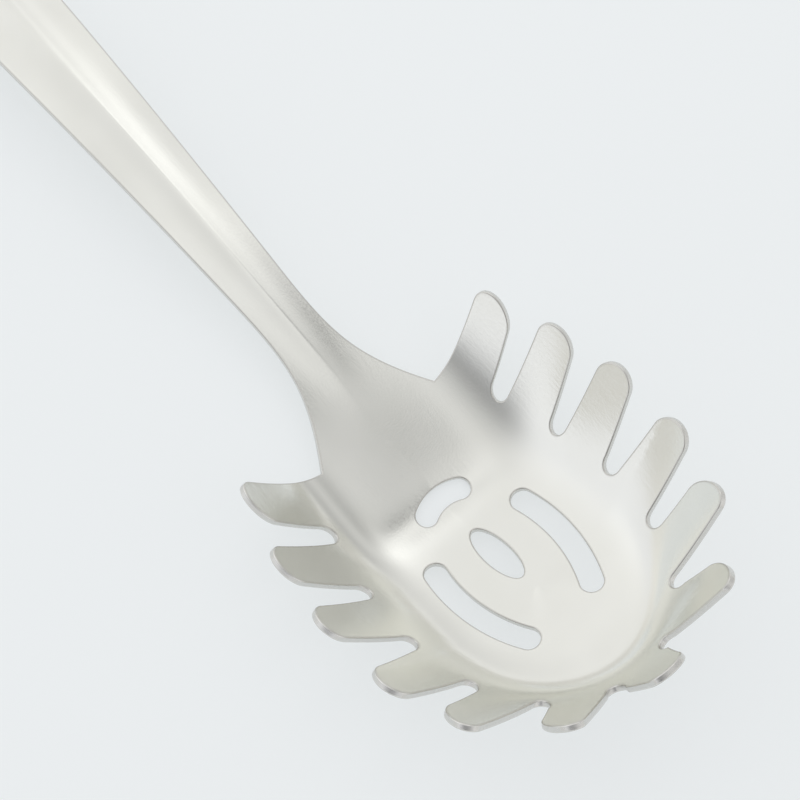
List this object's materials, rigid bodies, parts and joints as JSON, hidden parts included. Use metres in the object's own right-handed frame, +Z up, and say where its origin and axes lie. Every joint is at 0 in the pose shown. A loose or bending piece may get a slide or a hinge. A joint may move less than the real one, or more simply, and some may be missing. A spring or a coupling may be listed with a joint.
{
  "type": "pasta server",
  "caption": "One-piece stamped steel pasta server: a toothed, slotted oval bowl on a ridged, arched handle with a hanging hole.",
  "frame": {"origin": "on the table under the middle of the bounding box, where the bowl's heel and the handle's end rest", "axes": "+X along the tool from the handle's end to the bowl's tip tine, +Y across it, +Z up with the bowl open upwards"},
  "size_m": [0.2844, 0.0746, 0.0374],
  "materials": {
    "steel": "satin, brushed lightly, with brighter cut edges"
  },
  "bodies": {
    "root": {"server_body": "steel"}
  },
  "joints": []
}
